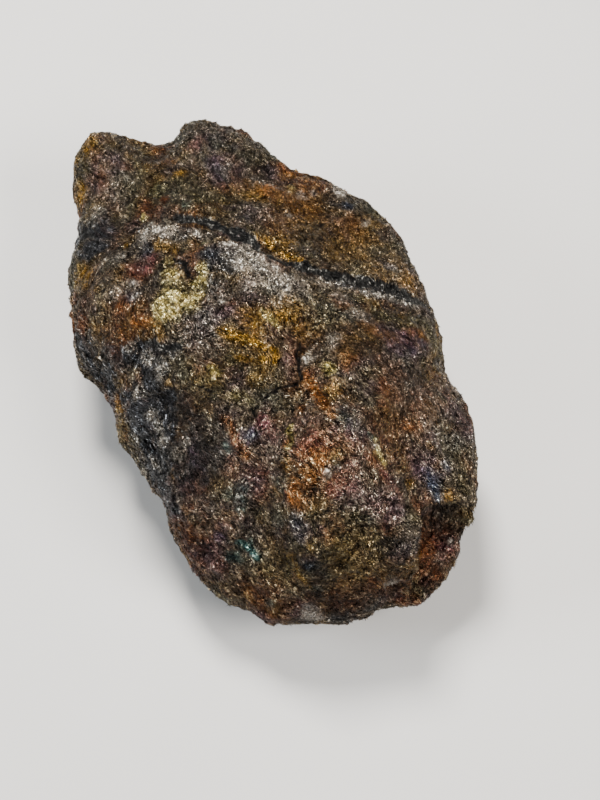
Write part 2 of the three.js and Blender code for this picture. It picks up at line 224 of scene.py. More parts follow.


# Where each mineral lies on the stone: x and y seen from above, reach and share.
# Two of them are no minerals: the first only darkens, partly as darker tarnish and partly as painted
# shade low on the front, under the broken corner and in a pit, and calm has fewer crystals in an evener
# tone.
patches = {
    "gold": [
        (-46, 60, 2.9, 0.6), (-50, 57, 2.2, 0.5), (-48, 48, 2.9, 0.95), (-22, 48, 1.4, 0.8),
        (-4, 43, 3.1, 0.85), (3, 26, 3.1, 0.6), (15, 28, 3.4, 0.45), (22, 26, 1.7, 0.7),
        (25, 22, 3.6, 0.6), (33, 22, 2.9, 0.75), (-25, 25, 2.4, 0.8), (-35, 28, 1, 0.8),
        (-45, 23, 3.1, 0.9), (-27, 1, 2.6, 0.8), (-29, -3, 1.4, 0.9), (-36, -8, 1.9, 0.9),
        (-3, 1, 3.1, 0.65), (3, 5, 3.1, 0.8), (7, 2, 3.4, 0.4), (-2, -12, 2.6, 0.6), (17, -6, 2.4, 0.3),
        (14, -17, 2.2, 0.6), (-22, -30, 1.2, 0.7), (40, -35, 1.2, 0.6), (24, 37, 3.4, 0.4),
        (31, -35, 1.2, 0.9), (4, -33, 1.4, 0.5), (-43, 57, 2.4, 0.4), (-22, -12, 1.2, 0.6),
        (36, -25, 1.2, 0.5), (-11, 24, 1.9, 0.3),
    ],
    "rust": [
        (-42, 49, 2.6, 0.7), (-36, 52, 1.4, 0.7), (-39, 42, 1.9, 0.35), (-26, 40, 1.2, 0.8),
        (-20, 57, 1.9, 0.5), (-10, 46, 2.6, 0.5), (4, 54, 3.6, 0.7), (7, 41, 5.8, 0.5),
        (20, 36, 3.8, 0.45), (2, 32, 4.3, 0.35), (-31, 19, 3.4, 0.8), (-47, 18, 2.4, 0.6),
        (-34, 9, 2.6, 0.9), (-35, 1, 3.6, 0.8), (-30, -8, 1.9, 0.5), (-34, -14, 1.7, 0.5),
        (38, -46, 3.0, 0.5), (26, -14, 2.2, 1), (25, -7, 2.6, 0.35), (30, -11, 3.6, 0.4),
        (-1, -36, 3.1, 0.7), (-16, -34, 1.9, 0.6), (-17, -38, 1.9, 0.6), (-22, -37, 1.9, 0.6),
        (8, -42, 1.7, 0.6), (26, -45, 2.2, 0.7), (7, -57, 3.1, 0.5), (29, -53, 3.1, 0.7),
        (37, -47, 3.1, 0.7), (35, -42, 2.2, 0.9), (-18, -18, 4.3, 0.4), (-15, -43, 1.7, 0.5),
        (7, 1, 3.4, 0.4), (-7, -53, 3.8, 0.3), (-11, -42, 3.4, 0.3),
    ],
    "orange": [
        (-30, 4, 2.4, 0.6), (-36, -7, 1.6, 0.6), (6, -39, 2.2, 1), (9, -37, 1.7, 0.8),
        (11, -33, 2.9, 0.6), (32, -22, 2.2, 0.55), (-2, 44, 1.9, 0.5), (7, -20, 1.4, 0.5),
        (17, -9, 1.9, 0.3), (4, -28, 1.4, 0.7),
    ],
    "pink": [
        (-30, 20, 2.2, 0.5), (-1, -23, 2.4, 0.85), (9, -31, 2.9, 0.8), (14, -39, 1.9, 0.75),
        (-20, 57, 1.7, 0.4), (40, -42, 2.2, 0.7), (13, -29, 2.4, 0.35), (9, -11, 1.4, 0.4),
    ],
    "violet": [
        (-39, 52, 1.9, 0.6), (-42, 46, 2.6, 0.4), (-25, 51, 2.6, 0.4), (-14, 51, 3.1, 0.65),
        (-17, 59, 3.1, 0.25), (-1, 53, 1.9, 0.4), (31, 0, 4.3, 0.65), (19, -28, 2.9, 0.75),
        (4, -39, 1.9, 0.6), (18, -40, 2.6, 0.6), (26, -41, 3.8, 0.6), (33, -31, 2.6, 0.5),
        (-11, -44, 1.7, 0.8), (7, -45, 2.4, 0.35), (9, -51, 1.4, 0.5), (-4, -26, 1.9, 0.4),
        (16, 36, 3.4, 0.3), (-16, -47, 3.4, 0.25),
    ],
    "blue": [
        (35, 1, 2.2, 0.4), (37, -34, 1.8, 0.5), (39, -29, 1.2, 0.5), (-4, -26, 1.4, 0.6),
        (9, -52, 1.7, 0.7), (18, 43, 1.4, 0.9), (-13, 18, 2.4, 0.5), (-29, 25, 1.9, 0.5),
        (-32, 11, 1.9, 0.5), (-27, -18, 3.4, 0.35), (-6, -27, 1.7, 0.3), (28, 25, 1.7, 0.4),
        (7, -45, 1.9, 0.3),
    ],
    "teal": [
        (-20, 37, 1.2, 0.6), (23, -28, 1.4, 0.8), (17, -24, 3.1, 0.3), (-5, -46, 2.2, 0.75),
        (-8, -47, 1.9, 0.6), (-6, -37, 2.6, 0.45), (-6, -40, 1.2, 0.6), (11, -55, 1.4, 0.6),
        (-9, -28, 1.2, 0.5), (2, -37, 1.7, 0.35), (0, -56, 1.7, 0.4), (-16, -40, 1.9, 0.25),
    ],
    "olive": [
        (-46, 53, 2.4, 0.5), (-31, 45, 4.8, 0.8), (-31, 57, 2.2, 0.6), (-21, 46, 3.6, 0.6),
        (-17, 47, 3.4, 0.4), (-9, 38, 3.1, 0.5), (7, 28, 3.1, 0.5), (-4, 30, 2.6, 0.8),
        (10, 21, 2.2, 0.7), (-18, 23, 2.6, 0.7), (-41, 11, 2.6, 0.6), (-18, -9, 4.1, 0.7),
        (-12, -10, 1.9, 0.5), (-4, -16, 3.1, 0.6), (21, -2, 3.4, 0.5), (37, -9, 4.3, 0.6),
        (29, -19, 4.8, 0.3), (42, -25, 3.4, 0.5), (43, -31, 2.2, 0.5), (18, -43, 4.3, 0.8),
        (22, -46, 2.9, 0.6), (31, -41, 2.2, 0.6), (13, -48, 4.8, 0.6), (-9, -52, 2.2, 0.4),
        (32, -49, 1.4, 0.5), (12, -42, 1.9, 0.4), (6, -12, 3.4, 0.4), (5, -55, 2.2, 0.3),
        (22, -52, 3.8, 0.4),
    ],
    "silver": [
        (-38, 24, 2.2, 0.4), (-29, 29, 2.8, 0.75), (-24, 28, 2.6, 0.85), (-16, 27, 2.2, 0.75),
        (-10, 22, 1.4, 1), (-6, 19, 2.6, 0.8), (-2, 14, 3.1, 0.8), (2, 11, 3.1, 0.8),
        (7, 10, 2.6, 0.35), (4, 7, 2.4, 0.35), (12, 15, 2.4, 0.6), (15, 16, 2.2, 0.75),
        (17, 10, 2.2, 0.5), (22, 14, 1.9, 0.65), (28, 16, 1.9, 0.75), (20, 5, 1.4, 0.6),
        (-12, 8, 1.8, 0.5), (-15, 11, 1.9, 0.3), (-16, 2, 3.1, 0.3), (-19, -2, 2.4, 0.25),
        (-13, -4, 2.9, 0.2), (-32, -1, 1.2, 0.8), (-43, 40, 2.2, 0.45), (-36, 13, 1.9, 0.5),
        # from (-27, -5) on to (-26, -25), small silver spots on the dark flank are painted glints, laid
        # as galena
        (-31, 11, 1.2, 0.8), (-27, -5, 1.5, 0.9), (-25, -9, 1.6, 0.8), (-31, -11, 1.5, 1),
        (-29, -12, 1.2, 0.9), (-27, -17, 1.3, 0.7), (-25, -20, 1.3, 0.8), (-24, -23, 1.3, 0.8),
        (-21, -26, 1.7, 1), (-19, -25, 1.1, 1), (-31, -19, 1.2, 0.7), (-30, -22, 1.3, 0.7),
        (-26, -25, 1.4, 0.8), (-19, -30, 1.4, 0.4), (9, -7, 1.2, 0.8), (14, -3, 1.7, 0.7),
        (28, 35, 1.7, 0.4), (29, 25, 1.4, 0.5), (-2, 47, 2.6, 0.3), (0, 34, 2.2, 0.25),
        (39, -45, 1.7, 0.35), (-5, 11, 2.2, 0.5),
    ],
    "brass": [
        (-31, 35, 1.2, 1), (-22, 9, 3.1, 1), (-24, 6, 2.9, 1), (-18, 8, 2.4, 0.9), (-23, 14, 2.2, 0.8),
        (-17, 12, 1.4, 0.8), (-24, 20, 1.2, 0.6), (0, 3, 1.4, 0.7), (13, -11, 1.4, 1),
        (15, -33, 1.4, 0.6), (5, 47, 1.2, 0.5), (-12, -11, 1.2, 0.7), (24, -31, 1, 0.9),
        (-7, -16, 1.4, 0.4), (5, -24, 0.7, 0.8),
    ],
    "pale": [
        (7, 45, 1, 0.6), (10, 47, 0.7, 0.6), (17, 48, 1.2, 0.95), (4, 36, 0.7, 0.7), (-32, 15, 1, 0.7),
        (-1, 46, 0.7, 0.4), (9, -58, 1.9, 1), (27, -53, 1.7, 0.8), (41, -41, 0.7, 0.7),
        (13, -36, 0.7, 0.7), (15, -35, 0.7, 0.7), (23, -30, 0.7, 0.7), (-10, 22, 0.7, 0.9),
        (-26, 29, 0.7, 0.8), (23, 38, 1, 0.4),
    ],
    "charcoal": [
        (-44, 36, 3.6, 1), (-40, 33, 2.9, 0.9), (-44, 29, 2.9, 0.9), (-32, 33, 2.6, 0.6),
        (-25, 34, 1.7, 0.4), (-9, 16, 2.6, 1), (-13, 18, 2.2, 0.8), (-15, 15, 2.2, 0.8),
        (-20, 17, 2.2, 0.8), (-34, 24, 1.7, 0.5), (-20, 28, 1.7, 0.6), (-9, 58, 1.4, 0.6),
        (-1, 53, 1.7, 0.4), (-2, 48, 2.9, 0.4), (15, 44, 1.4, 0.5), (-32, 11, 2.2, 0.5),
        (-43, 6, 2.4, 0.8), (-43, 3, 3.4, 0.9), (-35, -2, 3.6, 0.6), (-38, -3, 3.1, 0.95),
        (-27, -12, 3.1, 0.9), (-27, -18, 4.3, 1), (-25, -24, 4.3, 1), (-18, -26, 3.4, 0.5),
        (-12, -29, 2.6, 0.5), (-20, -31, 4.1, 0.6), (-23, -34, 3.4, 0.85), (-1, -19, 2.2, 0.4),
        (16, -58, 2.9, 0.7), (-28, -2, 2.2, 0.4), (23, -56, 2.9, 0.6), (-25, -11, 2.9, 0.7),
        (-9, 7, 2.9, 0.35), (-17, 2, 3.4, 0.3),
    ],
    # painted shade low on the front, under the broken corner and in a pit, and darker tarnish on the
    # flank
    "dark": [
        (-19, -18, 4.3, 0.7), (-20, 16, 1.2, 1), (-19, 14, 0.7, 1), (-13, -15, 0.7, 1),
        (26, -48, 2.9, 0.9), (26, -52, 2.9, 0.6), (13, -51, 6.2, 0.45), (39, -37, 2.4, 0.8),
        (7, -58, 4.8, 0.5), (30, -54, 4.8, 0.6), (-11, -18, 3.4, 0.4), (-18, -30, 3.8, 0.65),
        (-21, -28, 6.0, 0.7), (-26, -14, 5.0, 0.3), (7, -51, 6.0, 0.6), (14, -56, 6.0, 0.75),
        (-2, -56, 5.0, 0.1), (-32, 0, 4.0, 0.3), (7, -4, 1.2, 0.6), (39, -48, 3.4, 0.2),
        (-20, -35, 3.4, 0.5), (-5, -54, 7.2, 0.12), (-12, -29, 2.4, 0.5), (0, -18, 2.4, 0.3),
        (20, -3, 5.0, 0.45), (-17, -43, 5.0, 0.5), (-19, -30, 5.0, 0.75),
    ],
    "calm": [
        (-16, 56, 10, 1), (-10, 54, 8, 1), (-39, 47, 9, 0.7), (-24, 44, 8, 0.6), (-5, 40, 9, 0.7),
        (12, 34, 9, 0.8), (26, 27, 8, 0.65), (20, 38, 6, 0.6), (-42, 31, 6, 0.7), (19, -3, 6, 1),
        (31, -12, 8, 0.5), (-19, -29, 6, 1), (-26, -14, 7, 0.4), (7, -24, 5, 0.4), (7, -10, 5, 0.3),
        (-43, 20, 6, 0.5), (-11, -17, 4, 0.4), (-18, 24, 5, 0.2), (30, 4, 7, 0.5), (7, -53, 8, 0.2),
    ],
}

# wide, weak tints under the patches, given in the same way
tints = {
    "pink": [
        (13, -19, 8, 0.1), (29, -26, 8, 0.15), (24, -39, 6, 0.2), (0, -24, 3, 0.4), (11, -29, 5, 0.35),
        (16, -37, 4, 0.4), (7, -24, 4, 0.3),
    ],
    "violet": [
        (29, 0, 5, 0.55), (36, -31, 4, 0.45), (-19, -29, 5, 0.8), (-14, 51, 6, 0.35), (20, -29, 3, 0.5),
        (-24, -32, 5, 0.4), (-9, -20, 3, 0.3), (14, -24, 6, 0.3), (2, -30, 5, 0.3),
    ],
    "orange": [
        (11, -34, 6, 0.42), (-34, 6, 6, 0.15), (7, -14, 3, 0.3), (7, -38, 3, 0.6), (24, -31, 4, 0.25),
        (31, -20, 5, 0.15),
    ],
    "olive": [
        (40, -22, 5, 0.7), (20, -44, 5, 0.6), (-32, 45, 7, 0.7), (-16, 43, 7, 0.6), (-12, -10, 8, 0.7),
        (14, 3, 6, 0.4), (7, -51, 9, 0.45), (19, -24, 4, 0.4), (-6, -38, 5, 0.4), (-30, 54, 4, 0.5),
        (-10, 9, 4, 0.4), (28, 23, 5, 0.4), (-39, 48, 6, 0.3), (-16, 56, 8, 0.4), (12, -22, 8, 0.55),
        (24, -34, 7, 0.45), (2, -20, 5, 0.4), (20, -38, 4, 0.35),
    ],
    "gold": [
        (7, 38, 9, 0.35), (19, 30, 8, 0.35), (2, 26, 4, 0.5), (-4, -4, 5, 0.2), (21, 16, 3, 0.3),
        (18, -51, 6, 0.25), (0, -51, 6, 0.15), (-15, 33, 4, 0.3),
    ],
    "rust": [
        (18, -4, 5, 0.35), (-18, -42, 8, 0.6), (-2, -55, 6, 0.6), (36, -43, 6, 0.9), (28, -12, 5, 0.5),
        (36, -13, 6, 0.4), (-35, 4, 5, 0.4), (27, -53, 6, 0.6), (7, -4, 5, 0.4), (-6, -33, 5, 0.4),
        (-40, 49, 5, 0.15), (14, -56, 6, 0.5),
    ],
    "charcoal": [
        (-37, 25, 5, 0.4), (-33, 29, 4, 0.2), (-29, 22, 4, 0.2), (-10, 16, 2, 0.9), (-13, 10, 3, 0.5),
        (-17, 59, 4, 0.3), (-37, 0, 4, 0.7), (-17, -6, 4, 0.3),
    ],
    "silver": [
        (38, -20, 7, 0.25), (-39, 47, 6, 0.25), (7, -24, 6, 0.18), (20, -39, 6, 0.16),
        (26, -41, 6, 0.15), (-5, 40, 8, 0.1), (28, 23, 7, 0.2), (31, -12, 8, 0.16), (-17, -7, 5, 0.12),
        (-16, 57, 7, 0.12),
    ],
    "brass": [
        (10, -29, 11, 0.08), (2, -18, 6, 0.08),
    ],
    "teal": [
        (16, -21, 6, 0.15), (24, -36, 5, 0.12), (-6, -46, 4, 0.15), (-6, -37, 3, 0.3),
        (11, -53, 3, 0.2),
    ],
}

# bands and streaks: path, half width and share
streaks = {
    "charcoal": [
        ([(-47, 36), (-43, 33), (-41, 30)], 3.6, 1),
        ([(-46, 8), (-45, 5), (-42, 1), (-37, -3)], 2.4, 0.9),
        ([(-39, 2), (-34, -2), (-28, -3), (-22, -5)], 2.6, 0.7),
        ([(-28, -3), (-26, -10), (-25, -14), (-24, -20), (-23, -24), (-25, -27)], 4.8, 1),
        ([(-33, -10), (-31, -16), (-29, -21), (-28, -24), (-25, -29)], 4.0, 1),
        ([(-20, -16), (-17, -23), (-14, -28), (-14, -31), (-18, -32)], 3.6, 0.5),
        ([(17, 15), (23, 15), (29, 16), (34, 16)], 2.0, 0.9),
    ],
    "silver": [
        ([(-7, 18), (-5, 17), (-3, 15), (0, 12), (3, 9)], 3.6, 0.68),
        ([(12, 15), (17, 14), (23, 14), (29, 15), (34, 15)], 0.9, 0.8),
    ],
    # darker tarnish and painted shade on the flank
    "dark": [
        ([(-20, -16), (-17, -23), (-14, -28), (-18, -32)], 3.0, 0.65),
    ],
    "vein": [
        ([(-48, 39), (-44, 33)], 1.4, 0.8),
        ([(-22, 33), (-17, 33), (-13, 31), (-9, 28)], 1.5, 1),
        ([(-10, 29), (-6, 26), (-4, 24)], 2.2, 1),
        ([(-4, 24), (-1, 20), (3, 18), (6, 18), (8, 19)], 1.6, 1),
        ([(8, 19), (11, 18), (14, 18)], 1.1, 0.9),
        ([(13, 18), (19, 18), (23, 18), (28, 18), (32, 17), (37, 16)], 1.6, 1),
        ([(-28, -1), (-24, -3), (-21, -4)], 1, 0.9),
    ],
    "gold": [
        ([(-11, -1), (-8, -2), (-4, -3), (-1, -5), (1, -6)], 1.2, 1),
        ([(1, -6), (1, -9), (-2, -8)], 1, 1),
        ([(-7, -6), (-3, -9)], 1, 0.7),
        ([(-3, 27), (0, 24), (3, 21), (7, 20)], 1.2, 0.75),
        ([(5, -50), (7, -53), (10, -55)], 0.6, 0.7),
    ],
    "orange": [
        ([(-10, -22), (-8, -25), (-6, -28), (-5, -30)], 1, 0.5),
        ([(8, -11), (10, -16), (12, -19), (14, -23)], 1.2, 0.8),
    ],
    "rust": [
        ([(22, -32), (24, -34), (26, -36), (28, -38)], 1.2, 0.8),
        ([(8, -12), (11, -16), (13, -22)], 1.7, 0.5),
    ],
    "pink": [
        ([(25, -34), (28, -37)], 0.7, 0.5),
    ],
    "teal": [
        ([(12, -37), (14, -35), (16, -34)], 0.7, 0.9),
        ([(22, -27), (24, -29)], 0.8, 0.9),
        ([(-7, -45), (-5, -46), (-3, -48)], 1, 1),
    ],
    "blue": [
        ([(35, -31), (36, -34), (38, -37)], 1.0, 0.6),
    ],
    "brass": [
        ([(23, -28), (24, -31), (25, -33)], 0.6, 0.9),
        ([(4, -25), (5, -28), (4, -30)], 0.7, 0.7),
        ([(-2, 4), (0, 3), (2, 1)], 0.7, 0.8),
        ([(-16, 16), (-15, 13), (-15, 11)], 1, 0.8),
    ],
    "crack": [
        ([(7, -2), (6, -5), (7, -7), (7, -12)], 0.5, 1),
        ([(3, -13), (1, -16), (-2, -18), (-4, -20)], 0.5, 1),
        ([(7, -12), (5, -13), (3, -13)], 0.5, 1),
        ([(-4, -20), (-3, -23), (-3, -26)], 0.4, 0.8),
        ([(5, -17), (5, -20)], 0.4, 0.7),
        ([(-20, 18), (-19, 14)], 0.7, 0.9),
        ([(-22, 12), (-24, 9), (-22, 6)], 0.4, 0.8),
        ([(-20, 11), (-18, 8), (-20, 5)], 0.4, 0.8),
        ([(10, 47), (12, 49)], 0.4, 0.7),
        ([(12, 49), (13, 44)], 0.4, 0.9),
        ([(11, 33), (13, 37)], 0.4, 0.7),
        ([(19, 30), (20, 24)], 0.4, 0.6),
        ([(-4, 53), (-6, 49)], 0.3, 0.3),
        ([(-40, 4), (-42, 7), (-44, 10)], 0.4, 0.6),
        ([(-25, -11), (-24, -17), (-25, -22)], 0.4, 0.7),
        ([(-16, -14), (-13, -16)], 0.5, 0.9),
        ([(-9, -20), (-5, -19)], 0.4, 0.6),
        ([(-24, 22), (-22, 19), (-19, 17)], 0.5, 0.8),
    ],
}

# minerals that also turn up in spots all over the stone: greatest share, and width of the spots
spreads = {
    "gold": (0.30, 8),
    "rust": (0.55, 11),
    "olive": (0.55, 14),
    "violet": (0.40, 10),
    "teal": (0.16, 7),
    "charcoal": (0.30, 11),
}

# how patches, streaks and spots lie on the stone
laying = {
    "inward": (1.0, 0.97, 0.94, 0.9),  # a place beside the stone is tried again nearer to its middle
    "dropHeight": 200.0,
    "rimHeight": 15.0,         # of a place that still misses the stone
    "waves": (5.0, 3, 50),     # period, rounds and spacing of the noise that bends the borders
    "patchWaves": (1.3, 3.0),  # how far it bends a patch, as a share of its reach and at most
    "crackWaves": 1.1,
    "patchEdge": (0.3, 1.9),   # where a patch starts to fade and where it ends, in its reaches
    "streakEdge": (0.3, 1.5),
    "gapPeriod": {"vein": 3.0, "crack": 4.0},
    "gapEdge": (-0.7, -0.1),   # noise below these breaks the seam and the cracks
    "spotSpacing": 70,
    "spotEdge": (0.0, 0.5),
}

solid = BVHTree.FromPolygons([v.co / mm for v in oreNode.data.vertices],
                             [p.vertices for p in oreNode.data.polygons])


def ontoStone(x, y):
    # the highest place of the solid at x and y
    down = Vector((0.0, 0.0, -1.0))
    for inward in laying["inward"]:
        above = Vector((x * inward, y * inward, laying["dropHeight"]))
        found = solid.ray_cast(above, down)[0]
        if found:
            return np.array(found)
    return np.array((x, y, laying["rimHeight"]))


def mineralsAt(points):
    # each mineral's share from 0 to 1, with soft borders that wander
    waves = wavesAt(borderNoise, points, *laying["waves"])
    bend, mostBend = laying["patchWaves"]
    found = {name: np.zeros(len(points)) for name in (*patches, "vein", "crack")}
    for name, spots in (*tints.items(), *patches.items()):
        for x, y, reach, most in spots:
            loose = points + waves * min(mostBend, bend * reach)
            gap = np.linalg.norm(loose - ontoStone(x, y), axis=1) / reach
            share = 1 - ease(*laying["patchEdge"], gap)
            found[name] = np.maximum(found[name], most * share)
    for name, bands in streaks.items():
        for path, reach, most in bands:
            loose = points + waves * (laying["crackWaves"] if name == "crack" else reach)
            gap = distanceToPath(loose, [ontoStone(*place) for place in path]) / reach
            share = 1 - ease(*laying["streakEdge"], gap)
            if name in laying["gapPeriod"]:
                breaks = layered(gapNoise, points, laying["gapPeriod"][name], rounds=2)
                share *= ease(*laying["gapEdge"], breaks)
            found[name] = np.maximum(found[name], most * share)
    spotNoises = noises[1:] + noises[:1]
    for place, (name, (most, width)) in enumerate(spreads.items()):
        apart = laying["spotSpacing"] * place
        spots = layered(spotNoises[place], points + apart, width, rounds=3)
        found[name] = np.maximum(found[name], most * ease(*laying["spotEdge"], spots))
    return found


# the stone itself
stone = {
    "voxel": 0.615,
    "softening": 3,      # rounds that take the solid's facets away
    "evening": 0.6,      # strength of every round of softening
    "normalRounds": 4,
    "broadFaces": {"spacing": 6.5, "tilt": 0.08, "step": 0.14, "blend": 0.8, "seed": 5},
    "smallFaces": {"spacing": 2.4, "tilt": 0.14, "step": 0.07, "blend": 0.5, "seed": 6},
    "fibre": (0.55, -0.83, 0.0),  # the way the grain runs
    "drawOut": 0.6,      # how far the folds are drawn out along it
    "foldDepth": 0.48,   # long sharp folds
    "foldPeriod": 3.0,
    "crumpleDepth": 0.34,
    "crumplePeriod": 1.5,
    "crumpleShift": 40,
    "foldLevel": 0.2,    # share of a fold that stands out
    "seamDepth": 0.55,
    "crackDepth": 0.7,
    "galenaSteps": {"period": 2.2, "levels": 5, "step": 0.07, "swing": 3},
    "brassDomes": {"spacing": 1.4, "tall": (0.5, 1.0), "rounding": 0.6, "height": 0.3,
                   "level": 0.35, "seed": 9},
    "flat": (0.25, 2.5),  # nothing stands out below the first height, everything above the second
    "lift": 0.02,         # least height of what isn't flat
    "margin": 0.25,       # room kept for the grains inside the solid's box
    "margins": 4,         # the easing towards it starts this many of them from a side
    "hollowRounds": 7,
    "hollowDepth": 0.25,
}


def neighbourMean(edges, values):
    total = np.zeros_like(values)
    count = np.bincount(edges.ravel(), minlength=len(values))
    for column in range(values.shape[1]):
        total[:, column] = np.bincount(edges[:, 0], values[edges[:, 1], column], len(values))
        total[:, column] += np.bincount(edges[:, 1], values[edges[:, 0], column], len(values))
    return total / np.maximum(count, 1)[:, None]


def softened(edges, points, rounds, strength):
    for _ in range(rounds):
        points = points + strength * (neighbourMean(edges, points) - points)
    return points


def evenSeeds(points, spacing, dice):
    # one of the points in every box of a grid
    order = dice.permutation(len(points))
    cells = np.floor(points[order] / spacing + dice.random(3)).astype(int)
    first = np.unique(cells, axis=0, return_index=True)[1]
    return order[first]


def nearestTwo(points, seeds):
    # the two seeds nearest to each point, and how far off they are
    tree = KDTree(len(seeds))
    for place, seed in enumerate(seeds):
        tree.insert(points[seed], place)
    tree.balance()
    near = np.empty((len(points), 2), int)
    gaps = np.empty((len(points), 2))
    for place, point in enumerate(points):
        found = tree.find_n(point, 2)
        near[place] = found[0][1], found[1][1]
        gaps[place] = found[0][2], found[1][2]
    return near, gaps


def fractureFaces(points, faces):
    # small flat faces, each tilted its own way, that meet in steps
    dice = np.random.default_rng(faces["seed"])
    seeds = evenSeeds(points, faces["spacing"], dice)
    near, gaps = nearestTwo(points, seeds)
    tilts = dice.normal(size=(len(seeds), 3)) * faces["tilt"]
    steps = dice.uniform(-1, 1, len(seeds)) * faces["step"]
    heights = [steps[at] + ((points - points[seeds[at]]) * tilts[at]).sum(1) for at in near.T]
    share = np.clip(0.5 + 0.5 * (gaps[:, 1] - gaps[:, 0]) / faces["blend"], 0.5, 1.0)
    return heights[0] * share + heights[1] * (1 - share)


def crystalDomes(points, domes):
    # how far each point is from the edge of its crystal, up to 1 at the middle of a tall one
    dice = np.random.default_rng(domes["seed"])
    seeds = evenSeeds(points, domes["spacing"], dice)
    near, gaps = nearestTwo(points, seeds)
    tall = dice.uniform(*domes["tall"], len(seeds))
    fromEdge = (gaps[:, 1] - gaps[:, 0]) / (domes["rounding"] * domes["spacing"])
    return np.minimum(1.0, fromEdge) * tall[near[:, 0]]


def remeshed(name, voxel):
    # an even mesh in the shape of the solid
    body = addToScene(name, oreNode.data.copy())
    remesh = body.modifiers.new("remesh", "REMESH")
    remesh.mode = "VOXEL"
    remesh.voxel_size = voxel * mm
    graph = bpy.context.evaluated_depsgraph_get()
    mesh = bpy.data.meshes.new_from_object(body.evaluated_get(graph))
    body.modifiers.clear()
    body.data = mesh
    mesh.name = name
    print("remeshed", len(mesh.polygons))
    return body


def reliefOf(points, minerals, settings):
    # how far each point stands out of the smooth stone, or goes in
    height = fractureFaces(points, settings["broadFaces"])
    height += fractureFaces(points, settings["smallFaces"])
    fibre = np.array(settings["fibre"])
    drawn = points - settings["drawOut"] * (points @ fibre)[:, None] * fibre
    fold = layered(foldNoise, drawn, settings["foldPeriod"], rounds=2)
    height += settings["foldDepth"] * (settings["foldLevel"] - np.abs(fold))
    drawn = drawn + settings["crumpleShift"]
    crumple = layered(crumpleNoise, drawn, settings["crumplePeriod"], rounds=1)
    height += settings["crumpleDepth"] * (settings["foldLevel"] - np.abs(crumple))
    height -= settings["seamDepth"] * minerals["vein"]
    height -= settings["crackDepth"] * minerals["crack"]
    galena, domes = settings["galenaSteps"], settings["brassDomes"]
    silver = minerals["silver"] * (1 - minerals["brass"])
    steps = layered(galenaNoise, points, galena["period"], rounds=2)
    steps = np.round(steps * galena["levels"]) / galena["levels"]
    height += silver * galena["step"] * galena["swing"] * steps
    rise = crystalDomes(points, domes) - domes["level"]
    height += minerals["brass"] * domes["height"] * rise
    return height


def hollowOf(mesh, edges, points, settings):
    # 1 deep in a hollow and 0 on top of a crest; the materials paint shade in the hollows and light on
    # the crests from it
    level = softened(edges, points, settings["hollowRounds"], settings["evening"])
    depth = ((level - points) * readVectors(mesh, "normal")).sum(1)
    return 0.5 + 0.5 * np.clip(depth / settings["hollowDepth"], -1, 1)


def makeStone(settings):
    body = remeshed("stone_body", settings["voxel"])
    mesh = body.data
    edges = readEdges(mesh)
    points = softened(edges, readPoints(mesh), settings["softening"], settings["evening"])
    writePoints(mesh, points)
    normals = readVectors(mesh, "normal")
    for _ in range(settings["normalRounds"]):
        normals = unit(normals + neighbourMean(edges, normals))

    minerals = mineralsAt(points)
    print("minerals laid out")
    height = reliefOf(points, minerals, settings)
    floor = ease(*settings["flat"], points[:, 2])
    points = points + normals * (height * floor)[:, None]
    points = keepInside(points, settings["margin"], settings["margins"])
    lifted = np.maximum(points[:, 2], settings["lift"])
    points[:, 2] = np.where(floor <= 0, 0.0, lifted)
    writePoints(mesh, points)

    hollow = hollowOf(mesh, edges, points, settings)
    addMinerals(mesh, minerals)
    addColours(mesh, "relief", [hollow] * 3)
    mesh.polygons.foreach_set("use_smooth", [True] * len(mesh.polygons))
    mesh.update()
    print("stone shaped")
    return body, minerals, hollow


stoneBody, stoneMinerals, stoneHollow = makeStone(stone)


# the crystals that lie in the surface, each a simple shape
shapes = {
    "plate": {
        "points": [(1, 0, 0.25), (-0.55, 0.85, 0.25), (-0.5, -0.9, 0.25), (0, 0, -0.9)],
        "faces": [(0, 1, 2), (1, 0, 3), (2, 1, 3), (0, 2, 3)],
    },
    "shard": {
        "points": [(1, 0, -0.5), (-0.6, 0.9, -0.5), (-0.6, -0.9, -0.5), (0, 0, 1)],
        "faces": [(0, 1, 3), (1, 2, 3), (2, 0, 3), (1, 0, 2)],
    },
    "cube": {
        "points": [(-1, -1, -1), (1, -1, -1), (1, 1, -1), (-1, 1, -1),
                   (-1, -1, 1), (1, -1, 1), (1, 1, 1), (-1, 1, 1)],
        "faces": [(0, 2, 1), (0, 3, 2), (4, 5, 6), (4, 6, 7), (0, 1, 5), (0, 5, 4),
                  (1, 2, 6), (1, 6, 5), (2, 3, 7), (2, 7, 6), (3, 0, 4), (3, 4, 7)],
    },
}

